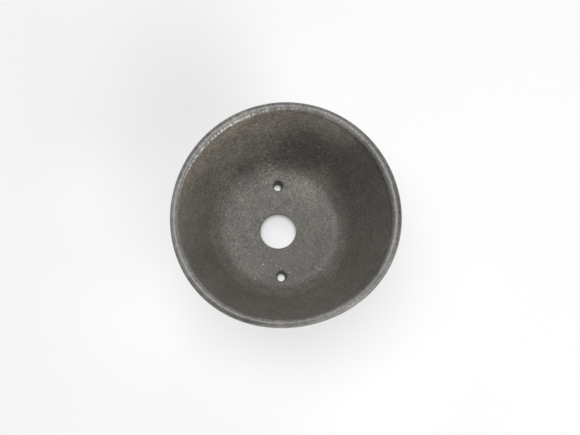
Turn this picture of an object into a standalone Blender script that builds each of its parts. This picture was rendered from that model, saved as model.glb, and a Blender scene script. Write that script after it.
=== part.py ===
"""Round hand-thrown stoneware flower pot: a thrown body and three feet luted to its underside.

Metres, +Z up. The origin lies on the ground under the middle of the pot, and the two
wire holes stand on the Y axis either side of the drain hole.
"""

import math

import bmesh
import bpy

# Thrown body
RIM_DIAMETER = 0.125
HEIGHT = 0.064
BASE_DIAMETER = 0.079
WALL = 0.0046
WALL_BULGE = 0.0013
LIP_ROLL = 0.0006
FLOOR_THICKNESS = 0.0075
COVE_RADIUS = 0.013
HEEL_RADIUS = 0.002

# Holes cut through the floor
DRAIN_HOLE_DIAMETER = 0.021
DRAIN_HOLE_FLARE = 0.0016
WIRE_HOLE_DIAMETER = 0.006
WIRE_HOLE_SPACING = 0.055
HOLE_EDGE_RADIUS = 0.0008

# Feet, named from the side that faces -Y
FOOT_NAMES = ("right_foot", "back_left_foot", "front_left_foot")
FOOT_HEIGHT = 0.0062
FOOT_WIDTH = 0.010
FOOT_LENGTH = 0.026
FOOT_INSET = 0.0006
FOOT_DRAFT = 0.0011
FOOT_SOLE_RADIUS = 0.0015
SLIP_JOINT = 0.0003

# Facets
TURN_STEPS = 72
HOLE_STEPS = 24
WALL_STEPS = 9
LIP_STEPS = 5
COVE_STEPS = 5
HEEL_STEPS = 3
EDGE_STEPS = 2
FOOT_ARC_STEPS = 8
FOOT_END_STEPS = 8
SOLE_STEPS = 3
SHARP_ANGLE = math.radians(40)
MERGE_DISTANCE = 0.00001

# Fired clay as linear colour, roughness
BODY_CLAY = ((0.150, 0.136, 0.116), 0.55)
FOOT_CLAY = ((0.135, 0.121, 0.102), 0.65)

UNDERSIDE = FOOT_HEIGHT + SLIP_JOINT
FLOOR = UNDERSIDE + FLOOR_THICKNESS
LIP_RADIUS = (WALL + LIP_ROLL) / 2


def clear_scene():
    for thing in list(bpy.data.objects):
        bpy.data.objects.remove(thing)


def new_collection(name):
    collection = bpy.data.collections.new(name)
    bpy.context.scene.collection.children.link(collection)
    return collection


def clay(name, finish):
    """Unglazed fired clay."""
    colour, roughness = finish
    material = bpy.data.materials.new(name)
    material.use_nodes = True
    shader = material.node_tree.nodes["Principled BSDF"]
    shader.inputs["Base Color"].default_value = (*colour, 1)
    shader.inputs["Roughness"].default_value = roughness
    shader.inputs["Metallic"].default_value = 0
    return material


def arc(centre, radius, start, end, steps):
    """Points on a circle from one angle to another, both ends included."""
    angles = (start + (end - start) * step / steps for step in range(steps + 1))
    return [
        (centre[0] + radius * math.cos(angle), centre[1] + radius * math.sin(angle))
        for angle in angles
    ]


def bearing(origin, point):
    return math.atan2(point[1] - origin[1], point[0] - origin[0])


def lower_crossing(centre_a, radius_a, centre_b, radius_b):
    """The lower of the two points where two circles cross."""
    across = centre_b[0] - centre_a[0]
    up = centre_b[1] - centre_a[1]
    apart = math.hypot(across, up)
    along = (radius_a**2 - radius_b**2 + apart**2) / (2 * apart)
    aside = math.sqrt(max(0, radius_a**2 - along**2))
    crossings = [
        (
            centre_a[0] + (along * across - side * up) / apart,
            centre_a[1] + (along * up + side * across) / apart,
        )
        for side in (aside, -aside)
    ]
    return min(crossings, key=lambda point: point[1])


def outer_wall_circle():
    """The circle that the outside of the wall follows, from the base's edge to the lip's widest point."""
    foot_end = (BASE_DIAMETER / 2, UNDERSIDE)
    lip_end = (RIM_DIAMETER / 2, HEIGHT - LIP_RADIUS)
    across = lip_end[0] - foot_end[0]
    up = lip_end[1] - foot_end[1]
    chord = math.hypot(across, up)
    radius = (chord**2 / 4 + WALL_BULGE**2) / (2 * WALL_BULGE)
    inward = (radius - WALL_BULGE) / chord
    centre = (
        (foot_end[0] + lip_end[0]) / 2 - up * inward,
        (foot_end[1] + lip_end[1]) / 2 + across * inward,
    )
    return centre, radius


def fillet_centre(wall_centre, wall_radius, fillet_radius, level):
    """Centre of a fillet that lies inside the wall's circle and on a level face."""
    height = level + fillet_radius
    reach = math.sqrt((wall_radius - fillet_radius) ** 2 - (height - wall_centre[1]) ** 2)
    return (wall_centre[0] + reach, height)


def heel_centre():
    """Centre of the rounded heel, which stands over the edge of the flat underside."""
    centre, radius = outer_wall_circle()
    return fillet_centre(centre, radius, HEEL_RADIUS, UNDERSIDE)


def hole_edge(hole_radius, flare):
    """A hole's wall from the floor down to the underside, wider below by a flare, both edges wiped round."""
    above = (hole_radius + HOLE_EDGE_RADIUS, FLOOR - HOLE_EDGE_RADIUS)
    below = (above[0] + flare, UNDERSIDE + HOLE_EDGE_RADIUS)
    upper = arc(above, HOLE_EDGE_RADIUS, math.pi / 2, math.pi, EDGE_STEPS)
    lower = arc(below, HOLE_EDGE_RADIUS, math.pi, 1.5 * math.pi, EDGE_STEPS)
    return upper + lower


def body_profile():
    """Half section of the thrown body: down the outside, in under the floor, and up the inside to the lip."""
    centre, outer_radius = outer_wall_circle()
    inner_radius = outer_radius - WALL
    lip_centre = (RIM_DIAMETER / 2 - LIP_RADIUS, HEIGHT - LIP_RADIUS)
    lip_outside = lower_crossing(centre, outer_radius, lip_centre, LIP_RADIUS)
    lip_inside = lower_crossing(centre, inner_radius, lip_centre, LIP_RADIUS)
    heel = heel_centre()
    cove = fillet_centre(centre, inner_radius, COVE_RADIUS, FLOOR)
    straight_up = math.pi / 2

    outside = arc(centre, outer_radius, bearing(centre, lip_outside), bearing(centre, heel), WALL_STEPS)
    heel_turn = arc(heel, HEEL_RADIUS, bearing(centre, heel), -straight_up, HEEL_STEPS)
    drain = hole_edge(DRAIN_HOLE_DIAMETER / 2, DRAIN_HOLE_FLARE)[::-1]
    cove_turn = arc(cove, COVE_RADIUS, -straight_up, bearing(centre, cove), COVE_STEPS)
    inside = arc(centre, inner_radius, bearing(centre, cove), bearing(centre, lip_inside), WALL_STEPS)
    from_inside = bearing(lip_centre, lip_inside) % (2 * math.pi)
    lip_rise = arc(lip_centre, LIP_RADIUS, from_inside, straight_up, LIP_STEPS)
    lip_fall = arc(lip_centre, LIP_RADIUS, straight_up, 0, LIP_STEPS)
    lip_tuck = arc(lip_centre, LIP_RADIUS, 0, bearing(lip_centre, lip_outside), EDGE_STEPS)
    lip = lip_rise[1:] + lip_fall[1:] + lip_tuck[1:-1]
    return outside + heel_turn[1:] + drain + cove_turn + inside[1:] + lip


def turned(name, collection, profile, closed, steps):
    """A half section at +X, turned about Z by a Screw modifier."""
    edges = [(i, i + 1) for i in range(len(profile) - 1)]
    if closed:
        edges.append((len(profile) - 1, 0))
    mesh = bpy.data.meshes.new(name)
    mesh.from_pydata([(radius, 0, height) for radius, height in profile], edges, [])
    piece = bpy.data.objects.new(name, mesh)
    collection.objects.link(piece)
    screw = piece.modifiers.new("turned", "SCREW")
    screw.steps = steps
    screw.render_steps = steps
    screw.use_merge_vertices = True
    screw.merge_threshold = MERGE_DISTANCE
    screw.use_smooth_shade = True
    return piece


def run_on(before, last):
    """The next point after two, the same way again, so that a cutter runs clear past a face."""
    return (2 * last[0] - before[0], 2 * last[1] - before[1])


def wire_hole_cutter(name, collection, side):
    edge = hole_edge(WIRE_HOLE_DIAMETER / 2, 0)
    above = run_on(edge[1], edge[0])
    below = run_on(edge[-2], edge[-1])
    clear = above[1] + FLOOR_THICKNESS
    profile = [(0, clear), (above[0], clear), above] + edge[1:-1] + [below, (0, below[1])]
    cutter = turned(name, collection, profile, False, HOLE_STEPS)
    cutter.location.y = side * WIRE_HOLE_SPACING / 2
    cutter.hide_render = True
    cutter.display_type = "WIRE"
    return cutter


def make_pot_body(parts, cutters, root):
    """Floor, wall and rolled lip, thrown in one piece of clay, with the wire holes cut afterwards."""
    body = turned("pot_body", parts, body_profile(), True, TURN_STEPS)
    body.data.materials.append(clay("thrown stoneware", BODY_CLAY))
    body.parent = root
    for name, side in (("front_wire_hole", -1), ("back_wire_hole", 1)):
        cut = body.modifiers.new(name, "BOOLEAN")
        cut.operation = "DIFFERENCE"
        cut.object = wire_hole_cutter(name, cutters, side)
    return body


def foot_outline(ring_radius, half_width):
    """A bean: a band along the ring that the feet stand on, with round ends."""
    half_turn = (FOOT_LENGTH - FOOT_WIDTH) / 2 / ring_radius
    ends = [
        (ring_radius * math.cos(turn), ring_radius * math.sin(turn)) for turn in (half_turn, -half_turn)
    ]
    outer = arc((0, 0), ring_radius + half_width, -half_turn, half_turn, FOOT_ARC_STEPS)
    far_end = arc(ends[0], half_width, half_turn, half_turn + math.pi, FOOT_END_STEPS)
    inner = arc((0, 0), ring_radius - half_width, half_turn, -half_turn, FOOT_ARC_STEPS)
    near_end = arc(ends[1], half_width, math.pi - half_turn, 2 * math.pi - half_turn, FOOT_END_STEPS)
    return outer + far_end[1:] + inner[1:] + near_end[1:-1]


def foot_mesh():
    """A pressed pad of clay: wide where it is luted on, drawn in towards a flat sole with a rounded edge."""
    ring_radius = heel_centre()[0] - FOOT_INSET - FOOT_WIDTH / 2
    form = bmesh.new()
    faces = []
    for half_width, height in ((FOOT_WIDTH / 2, FOOT_HEIGHT), (FOOT_WIDTH / 2 - FOOT_DRAFT, 0)):
        outline = foot_outline(ring_radius, half_width)
        faces.append(form.faces.new([form.verts.new((x, y, height)) for x, y in outline]))
    top, sole = faces
    bmesh.ops.bridge_loops(form, edges=list(top.edges) + list(sole.edges))
    bmesh.ops.recalc_face_normals(form, faces=form.faces)
    bmesh.ops.bevel(
        form,
        geom=list(sole.edges),
        offset=FOOT_SOLE_RADIUS,
        segments=SOLE_STEPS,
        profile=0.5,
        affect="EDGES",
        material=-1,
    )
    mesh = bpy.data.meshes.new("foot")
    form.to_mesh(mesh)
    form.free()
    mesh.shade_smooth()
    mesh.set_sharp_from_angle(angle=SHARP_ANGLE)
    return mesh


def make_feet(parts, root):
    """Three feet round the base, the first square to the line of the wire holes so that none covers one."""
    mesh = foot_mesh()
    mesh.materials.append(clay("pressed stoneware", FOOT_CLAY))
    for index, name in enumerate(FOOT_NAMES):
        foot = bpy.data.objects.new(name, mesh)
        foot.rotation_euler.z = 2 * math.pi * index / len(FOOT_NAMES)
        foot.parent = root
        parts.objects.link(foot)


clear_scene()
pot_parts = new_collection("flower_pot")
hole_cutters = new_collection("cutters")
pot_root = bpy.data.objects.new("flower_pot_root", None)
pot_parts.objects.link(pot_root)
make_pot_body(pot_parts, hole_cutters, pot_root)
make_feet(pot_parts, pot_root)
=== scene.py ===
import math

import bmesh
import bpy
from mathutils import Matrix, Vector, noise


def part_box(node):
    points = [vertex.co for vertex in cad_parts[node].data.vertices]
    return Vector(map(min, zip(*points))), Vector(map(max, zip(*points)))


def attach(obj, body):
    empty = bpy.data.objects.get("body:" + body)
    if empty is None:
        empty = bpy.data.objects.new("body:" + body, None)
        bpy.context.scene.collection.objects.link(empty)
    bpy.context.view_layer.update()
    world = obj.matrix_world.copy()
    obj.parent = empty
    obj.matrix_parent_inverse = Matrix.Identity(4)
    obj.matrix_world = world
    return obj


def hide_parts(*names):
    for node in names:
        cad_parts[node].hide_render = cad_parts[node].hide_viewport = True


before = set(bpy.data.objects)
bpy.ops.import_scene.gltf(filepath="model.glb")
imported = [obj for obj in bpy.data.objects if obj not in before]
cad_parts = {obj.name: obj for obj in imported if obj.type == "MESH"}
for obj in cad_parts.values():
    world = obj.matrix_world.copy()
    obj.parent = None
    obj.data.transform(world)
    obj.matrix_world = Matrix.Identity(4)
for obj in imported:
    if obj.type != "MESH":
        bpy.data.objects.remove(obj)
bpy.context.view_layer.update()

# The thrown body: floor, flaring wall and rolled lip, drawn up from one lump of coarse dark stoneware
# on the wheel. The drain hole and the two wire holes were cut through the floor while it was leather
# hard, and it was fired without glaze, so its finish is the bare clay.
body_low, body_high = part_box("pot_body")
RIM_RADIUS = body_high.x
LIP_TOP = body_high.z
UNDERSIDE = body_low.z
BASE_RADIUS = 0.0395
WALL = 0.0046
WALL_BULGE = 0.0013
LIP_RADIUS = 0.0026
FLOOR_THICKNESS = 0.0075
FLOOR = UNDERSIDE + FLOOR_THICKNESS
COVE_RADIUS = 0.013
HEEL_RADIUS = 0.002
DRAIN_HOLE_RADIUS = 0.01038
DRAIN_HOLE_FLARE = 0.0015
DRAIN_EDGE_RADIUS = 0.0005
FLOOR_STEPS = 32
COVE_STEPS = 24
INNER_WALL_STEPS = 84
INNER_LIP_STEPS = 12
OUTER_LIP_STEPS = 14
OUTER_WALL_STEPS = 90
HEEL_STEPS = 8
UNDERSIDE_STEPS = 16
DRAIN_LOWER_STEPS = 4
DRAIN_BORE_STEPS = 4
DRAIN_UPPER_STEPS = 5
TURN_STEPS = 288
MERGE_DISTANCE = 0.00001
SHARP_ANGLE = math.radians(40)
OUT = Vector((1, 0, 0))
ACROSS = Vector((0, 1, 0))
UP = Vector((0, 0, 1))
LEVEL = Vector((1, 1, 0))


def last_vert(drawn):
    return next(item for item in drawn["geom_last"] if isinstance(item, bmesh.types.BMVert))


def swing(form, tip, centre, axis, end, steps):
    """Draws an arc from the last vertex, about an axis through a centre, until it points at an end."""
    start, stop = tip.co - centre, end - centre
    turn = math.copysign(start.angle(stop), start.cross(stop).dot(axis))
    return last_vert(bmesh.ops.spin(form, geom=[tip], cent=centre, axis=axis, angle=turn, steps=steps))


def reach(form, tip, end, steps):
    """Draws a straight stretch from the last vertex to an end."""
    stride = (end - tip.co) / steps
    return last_vert(bmesh.ops.spin(form, geom=[tip], axis=UP, dvec=stride, angle=0, steps=steps))


def turn_on_wheel(form, steps):
    """Turns a half section into a closed round form."""
    section = form.verts[:] + form.edges[:]
    bmesh.ops.spin(form, geom=section, axis=UP, angle=2 * math.pi, steps=steps, use_merge=True)
    bmesh.ops.remove_doubles(form, verts=form.verts, dist=MERGE_DISTANCE)
    bmesh.ops.recalc_face_normals(form, faces=form.faces)


def finish_mesh(form, name):
    """Puts a modelled form into the scene as a smooth piece with crisp corners."""
    mesh = bpy.data.meshes.new(name)
    form.to_mesh(mesh)
    form.free()
    mesh.shade_smooth()
    mesh.set_sharp_from_angle(angle=SHARP_ANGLE)
    piece = bpy.data.objects.new(name, mesh)
    bpy.context.scene.collection.objects.link(piece)
    return piece


base_edge = OUT * BASE_RADIUS + UP * UNDERSIDE
lip_edge = OUT * RIM_RADIUS + UP * (LIP_TOP - LIP_RADIUS)
lip_centre = lip_edge - OUT * LIP_RADIUS
chord = lip_edge - base_edge
outer_radius = (chord.length_squared / 4 + WALL_BULGE**2) / (2 * WALL_BULGE)
inner_radius = outer_radius - WALL
wall_centre = base_edge + chord / 2 + chord.cross(ACROSS).normalized() * (outer_radius - WALL_BULGE)


def resting_in_wall(wall_radius, radius, level):
    """Centre of a rounded corner between the wall and a level face."""
    height = level + radius
    across = math.sqrt((wall_radius - radius) ** 2 - (height - wall_centre.z) ** 2)
    return OUT * (wall_centre.x + across) + UP * height


def meets_lip(wall_radius):
    """Where the lip's bead leaves the inside or the outside of the wall."""
    apart = lip_centre - wall_centre
    along = (wall_radius**2 - LIP_RADIUS**2 + apart.length_squared) / (2 * apart.length)
    aside = math.sqrt(max(0, wall_radius**2 - along**2))
    return wall_centre + apart.normalized() * along - apart.cross(ACROSS).normalized() * aside


heel_centre = resting_in_wall(outer_radius, HEEL_RADIUS, UNDERSIDE)
cove_centre = resting_in_wall(inner_radius, COVE_RADIUS, FLOOR)
upper_edge = OUT * (DRAIN_HOLE_RADIUS + DRAIN_EDGE_RADIUS) + UP * (FLOOR - DRAIN_EDGE_RADIUS)
lower_edge = upper_edge + OUT * DRAIN_HOLE_FLARE - UP * (FLOOR_THICKNESS - 2 * DRAIN_EDGE_RADIUS)

clay = bmesh.new()
tip = clay.verts.new(upper_edge + UP * DRAIN_EDGE_RADIUS)
tip = reach(clay, tip, cove_centre - UP * COVE_RADIUS, FLOOR_STEPS)
tip = swing(clay, tip, cove_centre, ACROSS, 2 * cove_centre - wall_centre, COVE_STEPS)
tip = swing(clay, tip, wall_centre, ACROSS, meets_lip(inner_radius), INNER_WALL_STEPS)
tip = swing(clay, tip, lip_centre, ACROSS, lip_centre + UP, INNER_LIP_STEPS)
tip = swing(clay, tip, lip_centre, ACROSS, meets_lip(outer_radius), OUTER_LIP_STEPS)
tip = swing(clay, tip, wall_centre, ACROSS, heel_centre, OUTER_WALL_STEPS)
tip = swing(clay, tip, heel_centre, ACROSS, heel_centre - UP, HEEL_STEPS)
tip = reach(clay, tip, lower_edge - UP * DRAIN_EDGE_RADIUS, UNDERSIDE_STEPS)
tip = swing(clay, tip, lower_edge, ACROSS, lower_edge - OUT, DRAIN_LOWER_STEPS)
tip = reach(clay, tip, upper_edge - OUT * DRAIN_EDGE_RADIUS, DRAIN_BORE_STEPS)
tip = swing(clay, tip, upper_edge, ACROSS, upper_edge + UP, DRAIN_UPPER_STEPS)
bmesh.ops.remove_doubles(clay, verts=clay.verts, dist=MERGE_DISTANCE)
turn_on_wheel(clay, TURN_STEPS)

# The hands leave their marks in it: a rim pulled slightly out of round as the pot was lifted off, a wall
# drawn thicker on some sides (each by lobes: how many, how far, towards which bearing), faint rings that
# climb with the fingers, soft lumps, and a drain hole cut by eye, not quite round, upright or in the middle.
OUT_OF_ROUND = ((1, 0.00058, 40), (2, 0.00092, 32), (3, 0.00058, -22), (4, 0.00018, -36))
UNEVEN_WALL = ((1, 0.00048, 60), (2, 0.00014, 0), (3, 0.00030, -4), (4, 0.00020, 36))
RING_PITCH = 0.0034
RING_DEPTH = 0.00003
LUMPS_PER_METRE = 45
LUMP_HEIGHT = 0.00009
DRAIN_OFF_CENTRE = Vector((-0.00095, -0.00110, 0))
DRAIN_SLANT = Vector((0.0002, -0.0004, 0))
DRAIN_OVAL = 0.00018
DRAIN_OVAL_BEARING = math.radians(12)


def lobed(bearing, lobes):
    """How far a ring with a few gentle lobes stands out at a bearing."""
    return sum(far * math.cos(count * (bearing - math.radians(toward))) for count, far, toward in lobes)


clay.normal_update()
for vert in clay.verts:
    outward = vert.co * LEVEL
    away = outward.length
    outward.normalize()
    bearing = math.atan2(outward.y, outward.x)
    rise = max(0, (vert.co.z - FLOOR) / (LIP_TOP - FLOOR))
    inside = (1 - vert.normal.dot(outward)) / 2
    pull = lobed(bearing, OUT_OF_ROUND) - lobed(bearing, UNEVEN_WALL) * inside
    ring = math.sin(2 * math.pi * (away + vert.co.z) / RING_PITCH + bearing) * (1 - vert.normal.z**2)
    lump = noise.noise(vert.co * LUMPS_PER_METRE)
    depth = (FLOOR - vert.co.z) / FLOOR_THICKNESS
    oval = outward * DRAIN_OVAL * math.cos(2 * (bearing - DRAIN_OVAL_BEARING))
    by_eye = DRAIN_OFF_CENTRE + DRAIN_SLANT * depth + oval
    near_drain = min(1, max(0, 2 - away / DRAIN_HOLE_RADIUS))
    vert.co += outward * pull * rise**2
    vert.co += vert.normal * (ring * RING_DEPTH + lump * LUMP_HEIGHT)
    vert.co += by_eye * near_drain
body = finish_mesh(clay, "stoneware_body")

# Each wire hole was pushed through from above with a tapered tool, so it is narrower below, and its edges
# were wiped round with a finger. Each has its own place and taper.
WIRE_HOLES = ((Vector((0, 0.0264, 0)), 0.00104), (Vector((0.0003, -0.0280, 0)), 0.00085))
WIRE_HOLE_RADIUS = 0.003
WIRE_EDGE_RADIUS = 0.0008
WIRE_EDGE_LEAN = 0.35
WIRE_EDGE_STEPS = 6
WIRE_BORE_STEPS = 4
WIRE_TURN_STEPS = 40
PUNCH_OVERSHOOT = 0.0016

for place, taper in WIRE_HOLES:
    punch = bmesh.new()
    upper_edge = OUT * (WIRE_HOLE_RADIUS + WIRE_EDGE_RADIUS) + UP * (FLOOR - WIRE_EDGE_RADIUS)
    lower_edge = upper_edge - OUT * taper - UP * (FLOOR_THICKNESS - 2 * WIRE_EDGE_RADIUS)
    top = UP * (FLOOR + PUNCH_OVERSHOOT)
    bottom = UP * (UNDERSIDE - PUNCH_OVERSHOOT)
    tip = punch.verts.new(bottom)
    tip = reach(punch, tip, bottom + OUT * lower_edge.x, 1)
    tip = reach(punch, tip, lower_edge - (UP + OUT * WIRE_EDGE_LEAN).normalized() * WIRE_EDGE_RADIUS, 1)
    tip = swing(punch, tip, lower_edge, ACROSS, lower_edge - OUT, WIRE_EDGE_STEPS)
    tip = reach(punch, tip, upper_edge - OUT * WIRE_EDGE_RADIUS, WIRE_BORE_STEPS)
    tip = swing(punch, tip, upper_edge, ACROSS, upper_edge + UP - OUT * WIRE_EDGE_LEAN, WIRE_EDGE_STEPS)
    tip = reach(punch, tip, top + OUT * upper_edge.x, 1)
    tip = reach(punch, tip, top, 1)
    turn_on_wheel(punch, WIRE_TURN_STEPS)
    bmesh.ops.translate(punch, verts=punch.verts, vec=place)
    cutter = finish_mesh(punch, "wire_hole_punch")
    cut = body.modifiers.new("wire hole", "BOOLEAN")
    cut.operation = "DIFFERENCE"
    cut.object = cutter
bpy.context.view_layer.update()
pierced = bpy.data.meshes.new_from_object(body.evaluated_get(bpy.context.evaluated_depsgraph_get()))
for cut in body.modifiers:
    bpy.data.objects.remove(cut.object)
body.modifiers.clear()
body.data = pierced
pierced.set_sharp_from_angle(angle=SHARP_ANGLE)
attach(body, "root")
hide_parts("pot_body")

# How far each point faces away from the axis, which tells the two sides of the lip apart for the painted
# highlight and shade on it.
FACING = "outwards"

outwards = pierced.attributes.new(FACING, "FLOAT", "POINT")
for vert, mark in zip(pierced.vertices, outwards.data):
    mark.value = vert.normal.dot((vert.co * LEVEL).normalized())


def shade(tree, kind, sockets, **settings):
    """Adds a shader node, each socket set to a value or linked to an output, and returns its first output."""
    made = tree.nodes.new(kind)
    for name, value in settings.items():
        setattr(made, name, value)
    for name, value in sockets.items():
        if isinstance(value, bpy.types.NodeSocket):
            tree.links.new(value, made.inputs[name])
        else:
            made.inputs[name].default_value = value
    return made.outputs[0]


def calc(tree, operation, *values):
    return shade(tree, "ShaderNodeMath", dict(enumerate(values)), operation=operation)


def vector(tree, operation, *values):
    return shade(tree, "ShaderNodeVectorMath", dict(enumerate(values)), operation=operation)


def measure(tree, operation, *places):
    """A length, or the distance between two places."""
    return vector(tree, operation, *places).node.outputs["Value"]


def scale(tree, value, factor):
    """A vector or a colour times a factor."""
    return shade(tree, "ShaderNodeVectorMath", {0: value, "Scale": factor}, operation="SCALE")


def remap(tree, value, start, end, to_start, to_end):
    """Takes a value from one range to another, smoothly, and holds it at the ends."""
    ranges = {"From Min": start, "From Max": end, "To Min": to_start, "To Max": to_end}
    return shade(tree, "ShaderNodeMapRange", {"Value": value, **ranges}, interpolation_type="SMOOTHSTEP")


def vary(tree, pattern, depth):
    """Swings by a depth about 1 as a pattern goes from 0 to 1."""
    swing_to = {"To Min": 1 - depth / 2, "To Max": 1 + depth / 2}
    return shade(tree, "ShaderNodeMapRange", {"Value": pattern, **swing_to})


def mottle(tree, place, per_metre, detail):
    return shade(tree, "ShaderNodeTexNoise", {"Vector": place, "Scale": per_metre, "Detail": detail})


def nearness(tree, place, spot, far, full=0):
    """1 at a spot, or as far as full, falling softly to 0. The spot is a bearing, a radius and a height."""
    bearing, away, height = spot
    turn = math.radians(bearing)
    centre = (away * math.cos(turn), away * math.sin(turn), height)
    return remap(tree, measure(tree, "DISTANCE", place, centre), full, far, 1, 0)


def dapple(tree, value, place, spots, share=1):
    """Brings a value up or down by each spot's factor, softly, as far as the spot reaches."""
    for spot, far, factor in spots:
        near = calc(tree, "MULTIPLY", nearness(tree, place, spot, far), share)
        value = calc(tree, "MULTIPLY", value, calc(tree, "MULTIPLY_ADD", near, factor - 1, 1))
    return value


def speckle(tree, place, per_metre, share, size):
    """1 on scattered spots of a size, in cells, and 0 between them. Only a share of the cells hold a spot."""
    cells = shade(tree, "ShaderNodeTexVoronoi", {"Vector": place, "Scale": per_metre}).node
    pick = shade(tree, "ShaderNodeSeparateColor", {0: cells.outputs["Color"]}).node.outputs
    chosen = calc(tree, "GREATER_THAN", pick["Red"], calc(tree, "SUBTRACT", 1, share))
    spot = calc(tree, "MULTIPLY", chosen, remap(tree, cells.outputs["Distance"], size / 2, size, 1, 0))
    return calc(tree, "MULTIPLY", spot, calc(tree, "SQRT", pick["Green"]))


def lay_over(tree, share, under, over, **settings):
    """Lays a share of one colour over another."""
    return shade(tree, "ShaderNodeMixRGB", {"Fac": share, "Color1": under, "Color2": over}, **settings)


# The clay is clouded, sandy and grainy: how many to a metre, how far the tone swings, how high they stand.
# Each place in these lists is a bearing, a distance from the axis and a height, then how far it reaches and
# its factor. The grain is coarser in a few places.
BODY_CLAY = (0.1635, 0.1535, 0.1345)
BODY_ROUGHNESS = 0.5
GRAIN = ((60, 0.40, 0.0), (190, 0.45, 0.3), (620, 1.0, 0.8), (1600, 2.0, 0.8))
GRAIN_DETAIL = 2
GRAIN_HEIGHT = 0.00007
GRAIN_ON_FLOOR = 0.75
GRAIN_ON_WALL = 0.92
GRAIN_ON_LIP = 0.65
COARSER = (
    ((118, 0.050, 0.042), 0.085, 1.65),
    ((75, 0.026, 0.014), 0.030, 1.30),
    ((188, 0.019, 0.014), 0.018, 1.50),
)
# A wet hand wiped it round and round, which left fine streaks. They are rubbed paler on a few scuffs.
WIPED_PER_METRE = 1000
WIPED_DETAIL = 1
WIPED_LENGTH = 0.018
WIPED_DEPTH = 0.70
SCUFFS = (
    ((100, 0.0345, 0.0152), 0.010),
    ((9, 0.0316, 0.0142), 0.008),
    ((312, 0.0338, 0.0150), 0.005),
    ((49, 0.0405, 0.0240), 0.009),
    ((293, 0.0410, 0.0250), 0.011),
)
SCUFF_STREAKS = (0.48, 0.62)
SCUFF_STRENGTH = 0.45
# Flashes from the fire, paler or darker, mixed with painted light and shade where the lamps leave the clay
# too
# dark or too bright: on the floor, in the cove, up the wall and along the lip, where they paint highlight.
FLASHES_AND_PAINTED_SHADING = (
    ((14, 0.024, 0.014), 0.017, 1.20),
    ((50, 0.030, 0.014), 0.017, 1.44),
    ((72, 0.033, 0.014), 0.010, 1.22),
    ((140, 0.029, 0.014), 0.018, 1.08),
    ((192, 0.025, 0.014), 0.010, 0.90),
    ((0, 0.035, 0.016), 0.016, 0.94),
    ((18, 0.034, 0.015), 0.011, 0.88),
    ((50, 0.040, 0.023), 0.013, 1.30),
    ((92, 0.034, 0.015), 0.012, 1.26),
    ((102, 0.041, 0.024), 0.016, 1.30),
    ((138, 0.040, 0.023), 0.020, 1.32),
    ((178, 0.043, 0.027), 0.026, 1.22),
    ((295, 0.036, 0.017), 0.017, 0.92),
    ((40, 0.047, 0.040), 0.018, 0.92),
    ((60, 0.056, 0.057), 0.022, 1.46),
    ((68, 0.050, 0.037), 0.029, 0.80),
    ((150, 0.050, 0.044), 0.024, 0.82),
    ((176, 0.051, 0.048), 0.017, 0.92),
    ((208, 0.052, 0.052), 0.014, 0.80),
    ((218, 0.045, 0.038), 0.020, 1.16),
    ((258, 0.046, 0.040), 0.020, 1.08),
    ((315, 0.055, 0.058), 0.032, 0.82),
    ((328, 0.043, 0.031), 0.018, 0.89),
    ((30, 0.060, 0.064), 0.024, 0.88),
    ((115, 0.059, 0.064), 0.014, 1.20),
    ((260, 0.060, 0.064), 0.018, 1.22),
    ((300, 0.060, 0.064), 0.024, 1.20),
)
# Painted shade darkens the crease where the floor turns up, and the wall is toasted warm high on the back
# left.
CREASE_SHADE_CENTRE = (-0.0003, 0.0012, 0)
CREASE_SHADE_RADIUS = 0.0365
CREASE_SHADE_WIDTH = 0.0035
CREASE_SHADE_DEPTH = 0.13
TOASTED = (
    ((85, 0.056, 0.058), 0.030, 0.33),
    ((110, 0.056, 0.058), 0.030, 0.28),
    ((135, 0.056, 0.058), 0.030, 0.36),
    ((162, 0.056, 0.058), 0.030, 0.36),
)
TOAST_TINT = (1.12, 0.98, 0.82, 1)
# The lip is rubbed smoother, with chatter across it, and its paler, greyer colour is partly painted sheen. A
# painted highlight lies on the chatter's ridges on its inner shoulder at the back left, and painted light and
# shade make its outer side paler or darker in places.
LIP_CLAY_AND_SHEEN = (0.1945, 0.190, 0.1775)
LIP_ROUGHNESS = 0.235
RUBBED = (LIP_TOP - LIP_RADIUS / 2, LIP_TOP - LIP_RADIUS / 5)
CHATTER_STRETCH = 0.045
CHATTER_DEPTH = 0.6
CHATTER_RIDGES = (0.40, 0.65)
SHOULDER_FROM = (-0.25, -0.5)
SHOULDER_TO = (-0.65, -0.9)
# A painted highlight on the chatter's ridges on the lip's inner shoulder.
SHOULDER_HIGHLIGHT = (((124, 0.060, 0.0635), 0.054, 2.7),)
OUTER_FROM = (-0.1, 0.4)
# Painted light and shade on the lip's outer side.
OUTER_SIDE_SHADING = (
    ((2, 0.064, 0.0620), 0.048, 0.54),
    ((58, 0.064, 0.0620), 0.032, 0.78),
    ((184, 0.064, 0.0620), 0.050, 1.60),
    ((252, 0.064, 0.0620), 0.034, 0.52),
)
# Pale grit lies in the surface, more of it on the floor, and small pits show where grit fell out, with
# painted shade in them.
GRIT = (0.64, 0.62, 0.58, 1)
GRIT_PER_METRE = 390
GRIT_SIZE = 0.18
GRIT_ON_FLOOR = 0.16
GRIT_ON_WALL = 0.04
PIT_SHADE = (0.040, 0.035, 0.029, 1)
PITS_PER_METRE = 430
PIT_SIZE = 0.25
PIT_SHARE = 0.10
PIT_DEPTH = 2.0


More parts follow.
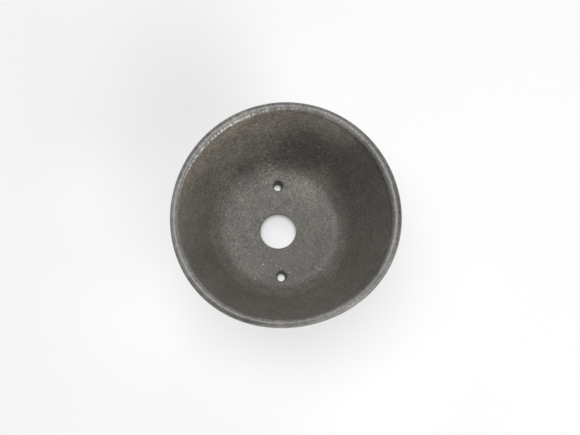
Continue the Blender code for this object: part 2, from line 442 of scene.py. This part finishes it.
def fired_clay(name, colour, roughness, grit_below, grit_above):
    """Coarse stoneware, fired bare: sandy, flashed, with grit, pits and a rubbed lip, and painted light and
    shade.
    """
    material = bpy.data.materials.new(name)
    material.use_nodes = True
    tree = material.node_tree
    surface = tree.nodes["Principled BSDF"]
    place = shade(tree, "ShaderNodeTexCoord", {}).node.outputs["Object"]
    height = shade(tree, "ShaderNodeSeparateXYZ", {0: place}).node.outputs["Z"]
    level = vector(tree, "MULTIPLY", place, LEVEL)
    away = measure(tree, "LENGTH", level)
    around = vector(tree, "NORMALIZE", level)
    lip = remap(tree, height, *RUBBED, 0, 1)

    tone, relief = 1, 0
    for per_metre, depth, bump in GRAIN:
        cloud = mottle(tree, place, per_metre, GRAIN_DETAIL)
        tone = calc(tree, "MULTIPLY", tone, vary(tree, cloud, depth))
        relief = calc(tree, "MULTIPLY_ADD", cloud, bump, relief)
    climb = shade(tree, "ShaderNodeCombineXYZ", {"Z": calc(tree, "ADD", away, height)})
    wiping = vector(tree, "ADD", scale(tree, around, WIPED_LENGTH), climb)
    wiped = mottle(tree, wiping, WIPED_PER_METRE, WIPED_DETAIL)
    tone = calc(tree, "MULTIPLY", tone, vary(tree, wiped, WIPED_DEPTH))
    relief = calc(tree, "ADD", relief, wiped)
    share = remap(tree, height, FLOOR, FLOOR + COVE_RADIUS, GRAIN_ON_FLOOR, GRAIN_ON_WALL)
    on_lip = calc(tree, "MULTIPLY_ADD", lip, GRAIN_ON_LIP / GRAIN_ON_WALL - 1, 1)
    share = dapple(tree, calc(tree, "MULTIPLY", share, on_lip), place, COARSER)
    tone = calc(tree, "MULTIPLY_ADD", calc(tree, "SUBTRACT", tone, 1), share, 1)

    # Flashes, mixed with painted light and shade, and painted highlight along the lip.
    tone = dapple(tree, tone, place, FLASHES_AND_PAINTED_SHADING)
    # Painted shade in the crease where the floor turns up.
    aside = calc(tree, "SUBTRACT", measure(tree, "DISTANCE", level, CREASE_SHADE_CENTRE), CREASE_SHADE_RADIUS)
    crease_shade = remap(tree, calc(tree, "ABSOLUTE", aside), 0, CREASE_SHADE_WIDTH, CREASE_SHADE_DEPTH, 0)
    crease_shade = calc(tree, "MULTIPLY", crease_shade, remap(tree, height, UNDERSIDE, FLOOR, 0, 1))
    tone = calc(tree, "MULTIPLY", tone, calc(tree, "SUBTRACT", 1, crease_shade))
    streaks = remap(tree, wiped, *SCUFF_STREAKS, 0, SCUFF_STRENGTH)
    for spot, far in SCUFFS:
        near = nearness(tree, place, spot, far)
        tone = calc(tree, "MULTIPLY", tone, calc(tree, "MULTIPLY_ADD", near, streaks, 1))
    clay_colour = scale(tree, colour, tone)
    for spot, far, strength in TOASTED:
        near = calc(tree, "MULTIPLY", nearness(tree, place, spot, far), strength)
        clay_colour = lay_over(tree, near, clay_colour, TOAST_TINT, blend_type="MULTIPLY")

    chatter = mottle(tree, scale(tree, around, CHATTER_STRETCH), WIPED_PER_METRE, WIPED_DETAIL)
    facing = shade(tree, "ShaderNodeAttribute", {}, attribute_name=FACING).node.outputs["Fac"]
    shoulder = remap(tree, facing, *SHOULDER_FROM, 0, 1)
    shoulder = calc(tree, "MULTIPLY", shoulder, remap(tree, facing, *SHOULDER_TO, 1, 0))
    # Painted highlight on the ridges of the chatter on the lip's inner shoulder.
    highlight_ridges = calc(tree, "MULTIPLY", shoulder, remap(tree, chatter, *CHATTER_RIDGES, 0, 1))
    lip_tone_and_sheen = calc(tree, "MULTIPLY", tone, vary(tree, chatter, CHATTER_DEPTH))
    lip_tone_and_sheen = dapple(tree, lip_tone_and_sheen, place, SHOULDER_HIGHLIGHT, highlight_ridges)
    # Painted light and shade on the lip's outer side.
    lip_tone_and_sheen = dapple(tree, lip_tone_and_sheen, place, OUTER_SIDE_SHADING, remap(tree, facing, *OUTER_FROM, 0, 1))
    # The lip's colour is partly painted sheen.
    clay_colour = lay_over(tree, lip, clay_colour, scale(tree, LIP_CLAY_AND_SHEEN, lip_tone_and_sheen))

    pits = speckle(tree, place, PITS_PER_METRE, PIT_SHARE, PIT_SIZE)
    # Painted shade in the pits.
    clay_colour = lay_over(tree, pits, clay_colour, PIT_SHADE)
    relief = calc(tree, "MULTIPLY_ADD", pits, -PIT_DEPTH, relief)
    grit_share = remap(tree, height, FLOOR, FLOOR + COVE_RADIUS, grit_below, grit_above)
    grit = speckle(tree, place, GRIT_PER_METRE, grit_share, GRIT_SIZE)
    clay_colour = lay_over(tree, grit, clay_colour, GRIT)

    sheen = calc(tree, "MULTIPLY_ADD", lip, LIP_ROUGHNESS - roughness, roughness)
    felt = shade(tree, "ShaderNodeBump", {"Height": relief, "Distance": GRAIN_HEIGHT})
    tree.links.new(clay_colour, surface.inputs["Base Color"])
    tree.links.new(sheen, surface.inputs["Roughness"])
    tree.links.new(felt, surface.inputs["Normal"])
    return material


thrown_clay = fired_clay("thrown stoneware", BODY_CLAY, BODY_ROUGHNESS, GRIT_ON_FLOOR, GRIT_ON_WALL)
body.data.materials.append(thrown_clay)

# The feet: three short pads of the same clay, pressed by hand, set on the scored underside with slip and
# smoothed in, so that each spreads a little where it meets the body and is rubbed flat under its sole.
FOOT_WIDTH = 0.010
FOOT_LENGTH = 0.026
FOOT_DRAFT = 0.0011
FOOT_SOLE_RADIUS = 0.0015
SLIP_FILLET = 0.0009
SEAT_DEPTH = 0.0004
FOOT_LUMPS_PER_METRE = 110
FOOT_LUMP_HEIGHT = 0.0003
FOOT_CLAY = (0.152, 0.143, 0.122)
FOOT_ROUGHNESS = 0.6
ARC_STEPS = 24
END_STEPS = 12
ROUND_STEPS = 6
SIDE_STEPS = 4

ring_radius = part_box("right_foot")[1].x - FOOT_WIDTH / 2
half_turn = (FOOT_LENGTH - FOOT_WIDTH) / 2 / ring_radius
luted_width = FOOT_WIDTH / 2 + SLIP_FILLET
seat = UP * (UNDERSIDE + SEAT_DEPTH)
pressed_clay = fired_clay("pressed stoneware", FOOT_CLAY, FOOT_ROUGHNESS, GRIT_ON_WALL, GRIT_ON_WALL)


def step_down(form, sole, inwards, downwards):
    """Works the foot's lowest face inwards and downwards, leaving a band of side above it."""
    bmesh.ops.inset_region(form, faces=[sole], thickness=inwards, depth=downwards, use_even_offset=True)


def pressed_foot():
    """The right foot: a bean drawn on its seat, then worked down to its sole."""
    far_way = OUT * math.cos(half_turn) + ACROSS * math.sin(half_turn)
    near_way = OUT * math.cos(half_turn) - ACROSS * math.sin(half_turn)
    far_end = seat + far_way * ring_radius
    near_end = seat + near_way * ring_radius
    form = bmesh.new()
    tip = form.verts.new(near_end + near_way * luted_width)
    tip = swing(form, tip, seat, UP, far_end, ARC_STEPS)
    tip = swing(form, tip, far_end, UP, far_end + UP.cross(far_way), END_STEPS)
    tip = swing(form, tip, far_end, UP, seat, END_STEPS)
    tip = swing(form, tip, seat, UP, near_end, ARC_STEPS)
    tip = swing(form, tip, near_end, UP, near_end - UP.cross(near_way), END_STEPS)
    tip = swing(form, tip, near_end, UP, near_end + near_way, END_STEPS)
    bmesh.ops.remove_doubles(form, verts=form.verts, dist=MERGE_DISTANCE)
    bmesh.ops.contextual_create(form, geom=form.edges[:])
    lowered = bmesh.ops.extrude_face_region(form, geom=form.faces[:], use_keep_orig=True)["geom"]
    sole = next(item for item in lowered if isinstance(item, bmesh.types.BMFace))
    bmesh.ops.translate(form, verts=sole.verts, vec=UP * -SEAT_DEPTH)
    sole.normal_update()
    if sole.normal.z > 0:
        sole.normal_flip()
    for step in range(ROUND_STEPS):
        before, after = (math.pi / 2 * (step + more) / ROUND_STEPS for more in (0, 1))
        inwards = SLIP_FILLET * (math.sin(after) - math.sin(before))
        step_down(form, sole, inwards, SLIP_FILLET * (math.cos(before) - math.cos(after)))
    side_height = UNDERSIDE - SLIP_FILLET - FOOT_SOLE_RADIUS
    for step in range(SIDE_STEPS):
        step_down(form, sole, FOOT_DRAFT / SIDE_STEPS, side_height / SIDE_STEPS)
    for step in range(ROUND_STEPS):
        before, after = (math.pi / 2 * (step + more) / ROUND_STEPS for more in (0, 1))
        inwards = FOOT_SOLE_RADIUS * (math.cos(before) - math.cos(after))
        step_down(form, sole, inwards, FOOT_SOLE_RADIUS * (math.sin(after) - math.sin(before)))
    bmesh.ops.recalc_face_normals(form, faces=form.faces)
    return form


FEET = ("right_foot", "back_left_foot", "front_left_foot")

for index, name in enumerate(FEET):
    form = pressed_foot()
    turn = Matrix.Rotation(2 * math.pi * index / len(FEET), 3, UP)
    bmesh.ops.rotate(form, verts=form.verts, matrix=turn)
    form.normal_update()
    for vert in form.verts:
        lump = noise.noise(vert.co * FOOT_LUMPS_PER_METRE) * FOOT_LUMP_HEIGHT
        vert.co += vert.normal * LEVEL * lump
    foot = finish_mesh(form, "stoneware_" + name)
    foot.data.materials.append(pressed_clay)
    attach(foot, "root")
    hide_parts(name)

# The ground: a wide sheet of pale paper with no edge in view. What the camera sees of it is mostly its own
# white, paler far away, and the rest is lit, so that it keeps the pot's soft shadow. Its own white also holds
# painted light
# and shade: paler towards the right, a painted deep shade under the pot, painted light where light falls
# through the holes, and soft painted shade or light in places round it.
GROUND_REACH = 3.0
PAPER_TINT = (0.996, 1.0, 1.0)
OWN_WHITE = 0.59
# Its own white is raised under the pot for the painted light below the drain hole.
OWN_UNDER_POT = 0.70
FAR_WHITE = 0.95
FAR = (0.30, 0.90)
LIT_WHITE = 0.395
LIT_UNDER_POT = 0.32
BOUNCE_WHITE = 0.80
# Painted light: the paper's own white is paler towards the right.
PALE = (-0.16, 0.16)
LEFT_SHARE = 0.95
DEEP_SHADE = 0.92
SHADE_FROM = (0.0086, 0.0130)
SHADE_TO = (0.030, 0.057)
LIGHT_SPOTS = ((89.3, 0.0262, 0), (271.4, 0.0285, 0))
LIGHT_SPOT_REACH = 0.0046
LIGHT_SPOT_FULL = 0.0014
# Soft painted shade and light on the paper round the pot.
SOFT_SHADES = (
    ((75, 0.100, 0), 0.060, 1.03),
    ((113, 0.137, 0), 0.075, 0.92),
    ((120, 0.100, 0), 0.075, 0.94),
    ((165, 0.110, 0), 0.050, 1.09),
    ((205, 0.085, 0), 0.075, 1.06),
    ((255, 0.085, 0), 0.040, 1.06),
    ((292, 0.105, 0), 0.080, 1.08),
    ((335, 0.105, 0), 0.080, 1.02),
)

sheet = bmesh.new()
bmesh.ops.create_grid(sheet, x_segments=1, y_segments=1, size=GROUND_REACH)
ground = finish_mesh(sheet, "ground")
paper = bpy.data.materials.new("pale paper")
paper.use_nodes = True
tree = paper.node_tree
tree.nodes.remove(tree.nodes["Principled BSDF"])
path = shade(tree, "ShaderNodeLightPath", {}).node.outputs
seen = calc(tree, "MAXIMUM", path["Is Camera Ray"], path["Is Glossy Ray"])
seen = calc(tree, "MAXIMUM", seen, path["Is Transmission Ray"])
place = shade(tree, "ShaderNodeTexCoord", {}).node.outputs["Object"]
across = shade(tree, "ShaderNodeSeparateXYZ", {0: place})
away = measure(tree, "LENGTH", place)
own_white_and_shading = remap(tree, away, BASE_RADIUS, RIM_RADIUS, OWN_UNDER_POT, OWN_WHITE)
own_white_and_shading = calc(tree, "ADD", own_white_and_shading, remap(tree, away, *FAR, 0, FAR_WHITE - OWN_WHITE))
# Painted deep shade under the pot, and painted light where light falls through the holes.
deep = remap(tree, away, *SHADE_FROM, 0, 1)
deep = calc(tree, "MULTIPLY", deep, remap(tree, away, *SHADE_TO, DEEP_SHADE, 0))
for spot in LIGHT_SPOTS:
    near = nearness(tree, place, spot, LIGHT_SPOT_REACH, LIGHT_SPOT_FULL)
    deep = calc(tree, "MULTIPLY", deep, calc(tree, "SUBTRACT", 1, near))
own_white_and_shading = calc(tree, "MULTIPLY", own_white_and_shading, calc(tree, "SUBTRACT", 1, deep))
# Soft painted shade and light round the pot.
own_white_and_shading = dapple(tree, own_white_and_shading, place, SOFT_SHADES)
# Painted light, paler towards the right.
own_white_and_shading = calc(tree, "MULTIPLY", own_white_and_shading, remap(tree, across, *PALE, LEFT_SHARE, 1))
glow = calc(tree, "MULTIPLY", seen, own_white_and_shading)
lit_white = remap(tree, away, BASE_RADIUS, RIM_RADIUS, LIT_UNDER_POT, LIT_WHITE)
lit = calc(tree, "MULTIPLY_ADD", seen, calc(tree, "SUBTRACT", lit_white, BOUNCE_WHITE), BOUNCE_WHITE)
lit_paper = shade(tree, "ShaderNodeBsdfDiffuse", {"Color": scale(tree, PAPER_TINT, lit)})
own_paper = shade(tree, "ShaderNodeEmission", {"Color": (*PAPER_TINT, 1), "Strength": glow})
both = shade(tree, "ShaderNodeAddShader", {0: lit_paper, 1: own_paper})
tree.links.new(both, tree.nodes["Material Output"].inputs["Surface"])
ground.data.materials.append(paper)

# The studio: a soft box overhead and one on the right, with large pale screens low down behind, at the
# front right and in front, and a little light from everywhere else. The low screens only fill: the clay's
# sheen doesn't mirror them.
ROOM_LIGHT = 0.02
ROOM_SEEN = 0.95
LAMP_DISTANCE = 1.2
SCREENS_BELOW = 60

room = bpy.data.worlds.new("white room")
room.use_nodes = True
bpy.context.scene.world = room
tree = room.node_tree
path = shade(tree, "ShaderNodeLightPath", {}).node.outputs
strength = remap(tree, path["Is Camera Ray"], 0, 1, ROOM_LIGHT, ROOM_SEEN)
tree.nodes["Background"].inputs["Color"].default_value = (*PAPER_TINT, 1)
tree.links.new(strength, tree.nodes["Background"].inputs["Strength"])


def soft_box(name, tilt, bearing, side, watts):
    """A square lamp that looks at the pot, tilted from straight above towards a bearing, in degrees."""
    lamp = bpy.data.lights.new(name, "AREA")
    lamp.shape = "SQUARE"
    lamp.size = side
    lamp.energy = watts
    box = bpy.data.objects.new(name, lamp)
    turn = Matrix.Rotation(math.radians(bearing), 3, "Z") @ Matrix.Rotation(math.radians(tilt), 3, "Y")
    box.matrix_world = turn.to_4x4()
    box.location = turn @ UP * LAMP_DISTANCE
    box.visible_camera = False
    box.visible_glossy = tilt < SCREENS_BELOW
    bpy.context.scene.collection.objects.link(box)


soft_box("overhead", tilt=18, bearing=128, side=0.9, watts=9.8)
soft_box("right", tilt=50, bearing=328, side=0.8, watts=4.8)
soft_box("back", tilt=70, bearing=92, side=0.7, watts=2.6)
soft_box("front right", tilt=81, bearing=315, side=0.7, watts=11.5)
soft_box("front", tilt=82, bearing=270, side=0.8, watts=3.3)

# The camera, almost straight above the pot and leaning a little to the front left.
VIEW_TILT = math.radians(11.8)
VIEW_BEARING = math.radians(-115.5)
VIEW_ROLL = math.radians(2.15)
VIEW_DISTANCE = 0.480
AIM_RIGHT = -0.00195
AIM_UP = 0.00238
LENS = 55.49
SENSOR = 36.0

level_way = OUT * math.cos(VIEW_BEARING) + ACROSS * math.sin(VIEW_BEARING)
back = level_way * math.sin(VIEW_TILT) + UP * math.cos(VIEW_TILT)
upright = OUT * math.sin(VIEW_ROLL) + ACROSS * math.cos(VIEW_ROLL)
upright = (upright - back * upright.dot(back)).normalized()
right = upright.cross(back)
lens = bpy.data.cameras.new("camera")
lens.lens = LENS
lens.sensor_width = SENSOR
camera = bpy.data.objects.new("camera", lens)
camera.matrix_world = Matrix((right, upright, back)).transposed().to_4x4()
camera.location = UP * LIP_TOP + back * VIEW_DISTANCE - right * AIM_RIGHT - upright * AIM_UP
bpy.context.scene.collection.objects.link(camera)
bpy.context.scene.camera = camera
bpy.context.scene.view_settings.view_transform = "Standard"
